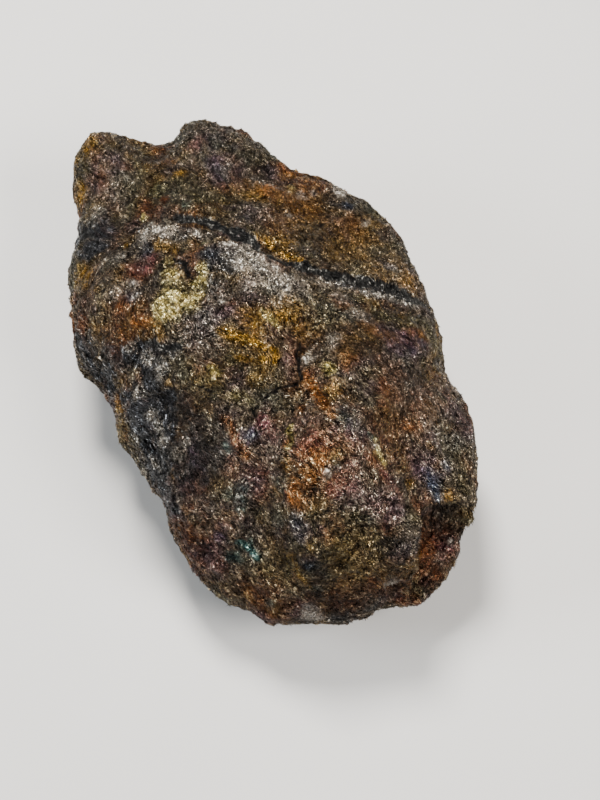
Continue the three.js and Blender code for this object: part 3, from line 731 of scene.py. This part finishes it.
# The first three lie all over and keep off the charcoal by some share. The others lie on a mineral
# of their own. Turns are in radians, and anywhere is the chance that is left everywhere else.
grains = {
    "ore_flakes": {
        "shape": "plate", "count": 49500, "size": (0.19, 0.38), "flat": 0.5, "long": 3.2, "rough": 0.12,
        "turn": 0.22, "sink": -0.06, "seed": 71, "offCharcoal": 0.8, "anywhere": 0.02,
    },
    "ore_grains": {
        "shape": "plate", "count": 49500, "size": (0.11, 0.22), "flat": 0.7, "long": 2.8, "rough": 0.12,
        "turn": 0.30, "sink": -0.08, "seed": 75, "offCharcoal": 0.7, "anywhere": 0.02,
    },
    "ore_slivers": {
        "shape": "plate", "count": 49500, "size": (0.11, 0.20), "flat": 0.8, "long": 5.5, "rough": 0.08,
        "turn": 0.22, "sink": -0.12, "seed": 76, "offCharcoal": 0.4, "anywhere": 0.02,
    },
    "galena_grains": {
        "shape": "cube", "count": 9000, "size": (0.16, 0.36), "flat": 0.8, "long": 1.2, "rough": 0.06,
        "turn": 3.1, "sink": 0.10, "seed": 72, "mineral": "silver", "onTop": True, "anywhere": 0.012,
    },
    "pyrite_grains": {
        "shape": "cube", "count": 1500, "size": (0.22, 0.50), "flat": 0.9, "long": 1.1, "rough": 0.06,
        "turn": 3.1, "sink": 0.14, "seed": 73, "mineral": "brass", "onTop": False, "anywhere": 0.001,
    },
    "pale_grains": {
        "shape": "shard", "count": 1200, "size": (0.18, 0.42), "flat": 0.7, "long": 1.2, "rough": 0.2,
        "turn": 3.1, "sink": 0.06, "seed": 74, "mineral": "pale", "onTop": False, "anywhere": 0.006,
    },
}

# how all of them lie
bedding = {
    "lowest": 1.2,          # none lies nearer to the floor
    "vary": (0.8, 1.2),     # spread of their length and thickness
    "waves": (9.0, 2, 60),  # period, rounds and spacing of the noise that bends the grain
    "bend": 2.2,
    "loose": 0.12,          # how far each one strays from the grain
    "depth": 0.12,          # how far it sinks in, as a share of its size
    "room": 0.02,           # kept free inside the solid's box
    "offVein": 0.6,
    "offHollows": 0.8,
    "hollows": (0.6, 0.95),
    "least": 0.3,           # chance at the foot of the stone, against 1 on top
    "rise": (6.0, 16.0),
    "offCalm": 0.5,
}


def chanceOf(settings):
    # how likely a crystal is on each triangle of the stone
    bare = 1 - np.maximum(bedding["offVein"] * faceMinerals["vein"], faceMinerals["crack"])
    bare *= 1 - bedding["offHollows"] * ease(*bedding["hollows"], faceHollow)
    heights = stonePoints[stoneFaces, 2].mean(1)
    upward = bedding["least"] + (1 - bedding["least"]) * ease(*bedding["rise"], heights)
    if "mineral" in settings:
        if settings["onTop"]:
            bare = upward * bare
        return bare * (faceMinerals[settings["mineral"]] ** 2 + settings["anywhere"])
    rough = upward * bare * (1 - bedding["offCalm"] * faceMinerals["calm"])
    return rough * (1 - settings["offCharcoal"] * faceMinerals["charcoal"]) + settings["anywhere"]


def pickSpots(chance, count, dice):
    a, b, c = (stonePoints[stoneFaces[:, k]] for k in range(3))
    cross = np.cross(b - a, c - a)
    weight = np.linalg.norm(cross, axis=1) * chance
    pick = dice.choice(len(stoneFaces), count, p=weight / weight.sum())
    u, v = dice.random(count), dice.random(count)
    over = u + v > 1
    u[over], v[over] = 1 - u[over], 1 - v[over]
    spots = a[pick] + u[:, None] * (b - a)[pick] + v[:, None] * (c - a)[pick]
    return spots, unit(cross[pick]), pick


def turned(dice, count, most):
    # matrices that turn by up to an angle about any axis
    axis = unit(dice.normal(size=(count, 3)))
    angle = dice.uniform(0, most, count)
    cross = np.zeros((count, 3, 3))
    cross[:, 0, 1], cross[:, 0, 2], cross[:, 1, 2] = -axis[:, 2], axis[:, 1], -axis[:, 0]
    cross -= cross.transpose(0, 2, 1)
    sin, cos = np.sin(angle)[:, None, None], np.cos(angle)[:, None, None]
    return np.eye(3) + sin * cross + (1 - cos) * (cross @ cross)


def crystalCorners(settings, spots, normals, dice):
    # the corners of all crystals of one kind, laid along the grain
    count = len(spots)
    form = np.array(shapes[settings["shape"]]["points"], float)
    size = dice.uniform(*settings["size"], count)
    scale = np.stack([settings["long"] * dice.uniform(*bedding["vary"], count), np.ones(count),
                      settings["flat"] * dice.uniform(*bedding["vary"], count)], 1)
    jolts = dice.normal(size=(count, len(form), 3)) * settings["rough"]
    corners = (form[None] * scale[:, None] + jolts) * size[:, None, None]
    corners = corners @ turned(dice, count, settings["turn"]).transpose(0, 2, 1)
    waves = wavesAt(grainNoise, spots, *bedding["waves"])
    loose = dice.normal(size=(count, 3)) * bedding["loose"]
    along = unit(np.array(stone["fibre"]) + bedding["bend"] * waves + loose)
    along = unit(along - (along * normals).sum(1)[:, None] * normals)
    corners = corners @ np.stack([along, np.cross(normals, along), normals], 1)
    centres = spots - normals * (settings["sink"] + bedding["depth"] * size)[:, None]
    return corners + centres[:, None]


def joinedMesh(name, corners, faces):
    # one mesh of many crystals that all have the same faces
    count, each = corners.shape[:2]
    joined = np.array(faces)[None] + (np.arange(count) * each)[:, None, None]
    joined = joined.reshape(-1, 3)
    mesh = bpy.data.meshes.new(name)
    mesh.vertices.add(count * each)
    mesh.vertices.foreach_set("co", (corners * mm).ravel())
    mesh.loops.add(joined.size)
    mesh.loops.foreach_set("vertex_index", joined.ravel())
    mesh.polygons.add(len(joined))
    mesh.polygons.foreach_set("loop_start", np.arange(len(joined)) * 3)
    mesh.update(calc_edges=True)
    return mesh


def growGrains(name, settings):
    dice = np.random.default_rng(settings["seed"])
    spots, normals, pick = pickSpots(chanceOf(settings), settings["count"], dice)
    keep = spots[:, 2] > bedding["lowest"]
    pick = pick[keep]
    corners = crystalCorners(settings, spots[keep], normals[keep], dice)
    inside = (corners > boxLow + bedding["room"]) & (corners < boxHigh - bedding["room"])
    inside = inside.all((1, 2))
    corners, pick = corners[inside], pick[inside]
    mesh = joinedMesh(name, corners, shapes[settings["shape"]]["faces"])
    each = np.repeat(np.arange(len(corners)), corners.shape[1])
    addMinerals(mesh, {mineral: share[pick][each] for mineral, share in faceMinerals.items()})
    addColours(mesh, "draw", dice.random((len(corners), 3))[each].T)
    addColours(mesh, "relief", [faceHollow[pick][each]] * 3)
    print(name, len(mesh.polygons))
    return addToScene(name, mesh)


stonePoints = readPoints(stoneBody.data)
stoneFaces = readTriangles(stoneBody.data)
faceMinerals = {name: share[stoneFaces].mean(1) for name, share in stoneMinerals.items()}
faceHollow = stoneHollow[stoneFaces].mean(1)
grainPieces = {name: growGrains(name, settings) for name, settings in grains.items()}


# Colours of each mineral from its dark to its bright crystals, from 0 to 255 as on a screen; the
# near-white ends are painted glints.
# Each mineral lies over the ones before it.
palette = {
    "ore": [(0.0, (14, 11, 9)), (0.3, (50, 43, 35)), (0.6, (90, 79, 65)), (0.85, (146, 130, 108)),
            (1.0, (214, 196, 162))],
    "olive": [(0.0, (20, 18, 11)), (0.35, (58, 52, 33)), (0.7, (102, 94, 62)), (1.0, (200, 188, 140))],
    "rust": [(0.0, (20, 10, 6)), (0.35, (78, 42, 20)), (0.7, (132, 74, 38)), (1.0, (204, 150, 104))],
    "violet": [(0.0, (17, 11, 16)), (0.4, (64, 45, 56)), (0.75, (112, 84, 100)), (1.0, (190, 168, 172))],
    "gold": [(0.0, (22, 15, 5)), (0.3, (84, 60, 16)), (0.65, (158, 116, 34)), (0.9, (226, 178, 78)),
             (1.0, (252, 228, 156))],
    "teal": [(0.0, (9, 16, 17)), (0.4, (38, 62, 60)), (0.75, (78, 120, 114)), (1.0, (190, 214, 198))],
    "blue": [(0.0, (11, 13, 20)), (0.4, (42, 48, 66)), (0.75, (82, 96, 120)), (1.0, (186, 198, 206))],
    "pink": [(0.0, (24, 11, 14)), (0.4, (94, 50, 56)), (0.75, (156, 96, 100)), (1.0, (224, 190, 172))],
    "orange": [(0.0, (28, 13, 5)), (0.35, (108, 58, 18)), (0.7, (180, 108, 38)), (1.0, (246, 206, 142))],
    "charcoal": [(0.0, (8, 8, 8)), (0.4, (26, 26, 27)), (0.7, (58, 58, 60)), (0.88, (110, 112, 116)),
                 (1.0, (190, 194, 198))],
    "silver": [(0.0, (10, 10, 10)), (0.3, (46, 44, 40)), (0.65, (142, 132, 118)), (1.0, (255, 250, 236))],
    "brass": [(0.0, (12, 10, 5)), (0.3, (62, 54, 26)), (0.6, (134, 118, 60)), (1.0, (252, 240, 176))],
    "pale": [(0.0, (96, 86, 74)), (0.5, (170, 158, 142)), (1.0, (244, 236, 224))],
    "vein": [(0.0, (8, 8, 8)), (0.5, (31, 31, 30)), (0.75, (80, 79, 76)), (1.0, (200, 197, 188))],
    "crack": [(0.0, (6, 5, 4)), (1.0, (20, 16, 12))],
}

finish = {
    "bend": 14.0,            # how far the grain bends
    "bendScale": 0.09,       # scales are waves of noise to a millimetre
    "stretch": (2.8, 4.6),   # how much longer than wide the crystals and the streaks are
    "cell": 0.34,            # width of the finest crystals
    "bigCell": 1.3,
    "cellTurn": 0.85,        # how far each crystal's face turns the light
    "bigCellTurn": 0.4,
    "charcoalTurn": -0.4,    # what the charcoal takes off that
    "grainTurn": 0.35,       # what is left of that on the grains
    "wrinkle": 0.70,         # width of the fine wrinkles
    "wrinkleDepth": 0.2,
    "grainWrinkles": 0.4,    # what is left of that on the grains
    "ridge": 0.15,           # how wide the crest of a wrinkle is
    "streakScale": 1.5,
    "streakEdge": (0.36, 0.64),
    # a few crystals at random are painted bright as glints, more of them on the streaks
    "rareness": 2.5,         # how seldom a crystal is bright
    "inStreaks": (0.8, 0.6),  # how much brighter it is on a streak, and how bright off it
    # the crests are painted lighter: a painted highlight that also stands for wear on the edges
    "crestEdge": (0.1, 0.5),
    "tone": {"streak": 0.25, "rareGlint": 0.38, "crestLight": 0.08, "bigCell": 0.09, "ridge": 0.08},
    "darkest": -0.10,
    "middle": 0.18,          # the mean of those, and the tone where it comes to lie
    "level": 0.535,
    "calming": -0.65,        # what a calm place takes off the swing of the tone
    "cloudScale": 0.5,
    "cloudEdge": (0.3, 0.7),
    "mingle": (0.65, 1.6),   # how far the share of each mineral swings from place to place
    "seamEdge": (0.2, 0.6),
    "broadScale": 0.1,
    "broadShade": (0.94, 1.09),
    # painted shade: the hollows darker and the tops a little lighter
    "hollowEdge": (0.35, 1.0),
    "hollowShade": (1.07, 0.64),
    # the fine dark lines are painted shade of crevices that aren't in the mesh
    "crevice": 2.6,          # spacing of the fine dark lines
    "creviceWidth": (0.004, 0.03),
    "creviceShade": 0.12,
    # off the crests of the fine wrinkles the stone between the crystals is painted darker, as shade
    # between them
    "wrinkleEdge": (0.0, 0.8),
    "wrinkleShade": 0.5,
    # painted shade and darker tarnish: how much the tarnish-and-shade share darkens the colour
    "darkShade": -0.75,
    "metal": 0.8,
    "gloss": (0.13, 0.42),   # roughness of the glossiest and of the dullest crystals
    "duller": {"rust": 0.12, "vein": 0.35, "crack": 0.4},
}
middleGrey = (0.5, 0.5, 0.5)  # the mean of a noise or cell colour


def linear(colour):
    # from a colour on a screen to light
    return tuple(((c / 255 + 0.055) / 1.055) ** 2.4 if c > 10 else c / 255 / 12.92 for c in colour) + (1,)


class Board:
    # adds nodes to one material and links them
    def __init__(self, name):
        self.material = bpy.data.materials.new(name)
        self.material.use_nodes = True
        self.tree = self.material.node_tree
        self.tree.nodes.clear()

    def add(self, kind, inputs=(), out=0, **settings):
        node = self.tree.nodes.new(kind)
        for key, value in settings.items():
            setattr(node, key, value)
        for key, value in dict(inputs).items():
            if isinstance(value, bpy.types.NodeSocket):
                self.tree.links.new(value, node.inputs[key])
            else:
                node.inputs[key].default_value = value
        return node if out is None else node.outputs[out]

    def sum(self, kind, *values):
        return self.add("ShaderNodeMath", dict(enumerate(values)), operation=kind)

    def vector(self, kind, *values):
        keys = (0, "Scale") if kind == "SCALE" else range(len(values))
        return self.add("ShaderNodeVectorMath", dict(zip(keys, values)), operation=kind)

    def noise(self, place, scale, detail, roughness=0.5, out=0):
        inputs = {"Vector": place, "Scale": scale, "Detail": detail, "Roughness": roughness}
        return self.add("ShaderNodeTexNoise", inputs, out=out)

    def cells(self, place, width):
        return self.add("ShaderNodeTexVoronoi", {"Vector": place, "Scale": 1 / width}, out="Color")

    def stored(self, name, out="Color"):
        return self.add("ShaderNodeAttribute", out=out, attribute_name=name)

    def parts(self, colour):
        return self.add("ShaderNodeSeparateColor", {0: colour}, out=None).outputs

    def ramp(self, value, stops):
        node = self.add("ShaderNodeValToRGB", {"Fac": value}, out=None)
        marks = node.color_ramp.elements
        while len(marks) < len(stops):
            marks.new(0.5)
        for mark, (place, colour) in zip(marks, stops):
            mark.position = place
            mark.color = linear(colour)
        return node.outputs[0]

    def mix(self, share, first, second):
        # of its sockets, 6 and 7 are the colours
        return self.add("ShaderNodeMix", {0: share, 6: first, 7: second}, out=2, data_type="RGBA")

    def spread(self, value, low, high, newLow=0.0, newHigh=1.0):
        # moves a span of values softly to another span
        return self.add("ShaderNodeMapRange", {0: value, 1: low, 2: high, 3: newLow, 4: newHigh},
                        interpolation_type="SMOOTHSTEP")

    def fromMiddle(self, value):
        # how far a noise is from its mean
        return self.sum("ABSOLUTE", self.sum("SUBTRACT", value, 0.5))

    def shaded(self, inputs):
        # ends the material with a shader
        shader = self.add("ShaderNodeBsdfPrincipled", inputs)
        self.add("ShaderNodeOutputMaterial", {"Surface": shader}, out=None)
        return self.material


def oreSigns(board, onGrains):
    # what tone, shade, gloss and normal are made from
    place = board.vector("SCALE", board.add("ShaderNodeTexCoord", out="Object"), 1 / mm)
    bend = board.noise(place, finish["bendScale"], detail=3.0, out="Color")
    bend = board.vector("SCALE", board.vector("SUBTRACT", bend, middleGrey), finish["bend"])
    bent = board.vector("ADD", place, bend)
    turn = (0, 0, math.atan2(stone["fibre"][1], stone["fibre"][0]))
    laid, drawn = (
        board.add("ShaderNodeMapping", {"Vector": bent, "Rotation": turn, "Scale": (stretch, 1, 1)},
                  vector_type="TEXTURE")
        for stretch in finish["stretch"])
    cells = board.cells(laid, finish["cell"])
    bigCells = board.cells(laid, finish["bigCell"])
    wrinkles = board.noise(laid, 1 / finish["wrinkle"], detail=3.0, roughness=0.62)
    streaks = board.noise(drawn, finish["streakScale"], detail=4.0, roughness=0.6)
    crevices = board.noise(laid, 1 / finish["crevice"], detail=4.0, roughness=0.6)
    return {
        "drawn": drawn,
        "cells": cells,
        "bigCells": bigCells,
        "draws": board.parts(board.stored("draw") if onGrains else cells),
        "bigDraws": board.parts(bigCells),
        "ridge": board.spread(board.fromMiddle(wrinkles), 0.0, finish["ridge"], 1.0, 0.0),
        "streak": board.spread(streaks, *finish["streakEdge"]),
        "broad": board.noise(place, finish["broadScale"], detail=4.0),
        "crevice": board.fromMiddle(crevices),
        "hollow": board.stored("relief", out="Fac"),
    }


def storedShares(board):
    shares = {}
    for layer, names in mineralLayers.items():
        shares.update(zip(names, board.parts(board.stored(layer))))
    return shares


def oreTone(board, signs, lively):
    # how bright each crystal is for its mineral, evener where the stone is calm, with painted glints on a
    # few crystals at random and a painted highlight on the crests
    rareGlint = board.sum("POWER", signs["draws"][0], finish["rareness"])
    onStreak = board.sum("MULTIPLY_ADD", signs["streak"], *finish["inStreaks"])
    sources = {
        "streak": signs["streak"],
        "rareGlint": board.sum("MULTIPLY", rareGlint, onStreak),
        "crestLight": board.spread(signs["hollow"], *finish["crestEdge"], 1.0, 0.0),
        "bigCell": signs["bigDraws"][0],
        "ridge": signs["ridge"],
    }
    tone = finish["darkest"]
    for name, part in finish["tone"].items():
        tone = board.sum("MULTIPLY_ADD", sources[name], part, tone)
    swing = board.sum("SUBTRACT", tone, finish["middle"])
    return board.sum("MULTIPLY_ADD", swing, lively, finish["level"])


def mineralColour(board, signs, tone, shares):
    # every mineral breaks up in clouds of its own, and the seam and the cracks have clear edges
    clouds = []
    for k in range(4):  # one cloud serves three minerals
        apart = (37.0 * k, 11.0, 5.0 * k)  # keeps the clouds unlike one another
        place = board.vector("ADD", signs["drawn"], apart)
        cloud = board.noise(place, finish["cloudScale"], detail=4.0, roughness=0.6, out="Color")
        clouds.extend(board.parts(cloud))
    colour = board.ramp(tone, palette["ore"])
    for count, mineral in enumerate(list(palette)[1:]):
        share = shares[mineral]
        if mineral in ("vein", "crack"):
            share = board.spread(share, *finish["seamEdge"])
        else:
            mingle = board.spread(clouds[count], *finish["cloudEdge"], *finish["mingle"])
            share = board.sum("MULTIPLY", share, mingle)
        colour = board.mix(share, colour, board.ramp(tone, palette[mineral]))
    return colour


def oreShade(board, signs, shares, onGrains):
    # painted shade and light multiplied into the colour: darker in hollows and a little lighter on tops,
    # in the fine dark lines, on the tarnish-and-shade share and, on the stone, between the wrinkle
    # crests; the broad clouds are random tone
    shades = [
        board.spread(signs["hollow"], *finish["hollowEdge"], *finish["hollowShade"]),
        board.spread(signs["crevice"], *finish["creviceWidth"], finish["creviceShade"], 1.0),
        board.sum("MULTIPLY_ADD", shares["dark"], finish["darkShade"], 1.0),
    ]
    # painted shade between the crystals, off the wrinkle crests
    if not onGrains:
        shades.append(board.spread(signs["ridge"], *finish["wrinkleEdge"], finish["wrinkleShade"], 1.0))
    total = board.spread(signs["broad"], *finish["cloudEdge"], *finish["broadShade"])
    for shade in shades:
        total = board.sum("MULTIPLY", total, shade)
    return total


def oreGloss(board, signs, shares):
    gloss = board.spread(signs["draws"][2], 0.0, 1.0, *finish["gloss"])
    for mineral, more in finish["duller"].items():
        gloss = board.sum("MULTIPLY_ADD", shares[mineral], more, gloss)
    return gloss


def oreNormal(board, signs, shares, lively, onGrains):
    # every crystal turns its face a little its own way, under fine wrinkles
    grainTurn, grainWrinkles = 1.0, 1.0
    if onGrains:
        grainTurn, grainWrinkles = finish["grainTurn"], finish["grainWrinkles"]
    turning = board.sum("MULTIPLY_ADD", shares["charcoal"], finish["charcoalTurn"], 1.0)
    turning = board.sum("MULTIPLY", turning, lively)
    normal = board.add("ShaderNodeNewGeometry", out="Normal")
    for cells, most in (("cells", finish["cellTurn"]), ("bigCells", finish["bigCellTurn"])):
        tilt = board.vector("SUBTRACT", signs[cells], middleGrey)
        tilt = board.vector("SCALE", tilt, board.sum("MULTIPLY", turning, most * grainTurn))
        normal = board.vector("ADD", normal, tilt)
    return board.add("ShaderNodeBump", {
        "Strength": 1.0, "Height": signs["ridge"], "Normal": board.vector("NORMALIZE", normal),
        "Distance": finish["wrinkleDepth"] * mm * grainWrinkles})


def oreMaterial(name, onGrains):
    board = Board(name)
    signs = oreSigns(board, onGrains)
    shares = storedShares(board)
    lively = board.sum("MULTIPLY_ADD", shares["calm"], finish["calming"], 1.0)
    tone = oreTone(board, signs, lively)
    colour = mineralColour(board, signs, tone, shares)
    notRock = board.sum("SUBTRACT", 1.0, shares["pale"])
    return board.shaded({
        "Base Color": board.vector("SCALE", colour, oreShade(board, signs, shares, onGrains)),
        "Metallic": board.sum("MULTIPLY", notRock, finish["metal"]),
        "Roughness": oreGloss(board, signs, shares),
        "Normal": oreNormal(board, signs, shares, lively, onGrains),
    })


tarnishedOre = oreMaterial("tarnished_ore", onGrains=False)
oreCrystals = oreMaterial("ore_crystals", onGrains=True)
stoneBody.data.materials.clear()
stoneBody.data.materials.append(tarnishedOre)
for piece in grainPieces.values():
    piece.data.materials.append(oreCrystals)
print("materials made")


# the floor and the light
studio = {
    "floor": (214, 212, 208),
    "floorReach": 1500.0,       # from its middle to each side
    "floorClouds": (9.0, 3.0),  # waves to a metre, and detail
    "floorLighter": 6,          # how much lighter the clouds are
    "floorRoughness": 0.8,
    "world": (0.62, 0.64, 0.68),
    "worldStrength": 0.16,
    # place, aim, width, power in watts and colour of each soft light
    "lights": [
        ((-100, 330, 640), (0, 0, 20), 220, 10.4, (1.0, 0.97, 0.93)),
        ((-560, -60, 300), (0, 0, 20), 300, 3.6, (0.90, 0.95, 1.0)),
        ((480, -260, 520), (0, 0, 20), 380, 7.0, (1.0, 0.97, 0.94)),
    ],
}


def makeFloor(settings):
    side = settings["floorReach"] * mm
    corners = [(-side, -side, 0), (side, -side, 0), (side, side, 0), (-side, side, 0)]
    mesh = bpy.data.meshes.new("floor")
    mesh.from_pydata(corners, [], [(0, 1, 2, 3)])
    floor = addToScene("floor", mesh)
    board = Board("floor")
    clouds = board.noise(board.add("ShaderNodeTexCoord", out="Object"), *settings["floorClouds"])
    lighter = tuple(c + settings["floorLighter"] for c in settings["floor"])
    colour = board.ramp(clouds, [(0.3, settings["floor"]), (0.7, lighter)])
    material = board.shaded({"Base Color": colour, "Roughness": settings["floorRoughness"]})
    mesh.materials.append(material)


def makeLights(settings):
    world = bpy.data.worlds.new("studio")
    world.use_nodes = True
    sky = world.node_tree.nodes["Background"]
    sky.inputs["Color"].default_value = (*settings["world"], 1)
    sky.inputs["Strength"].default_value = settings["worldStrength"]
    bpy.context.scene.world = world
    for count, (place, aim, width, power, colour) in enumerate(settings["lights"]):
        lamp = bpy.data.lights.new(f"light{count}", "AREA")
        lamp.shape = "DISK"
        lamp.size = width * mm
        lamp.energy = power
        lamp.color = colour
        light = addToScene(f"light{count}", lamp)
        light.location = Vector(place) * mm
        light.rotation_euler = (Vector(aim) - Vector(place)).to_track_quat("-Z", "Y").to_euler()


makeFloor(studio)
makeLights(studio)
print("studio ready")


for piece in (stoneBody, *grainPieces.values()):
    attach(piece, "root")
    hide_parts("peacock_ore")
print("pieces handed over")
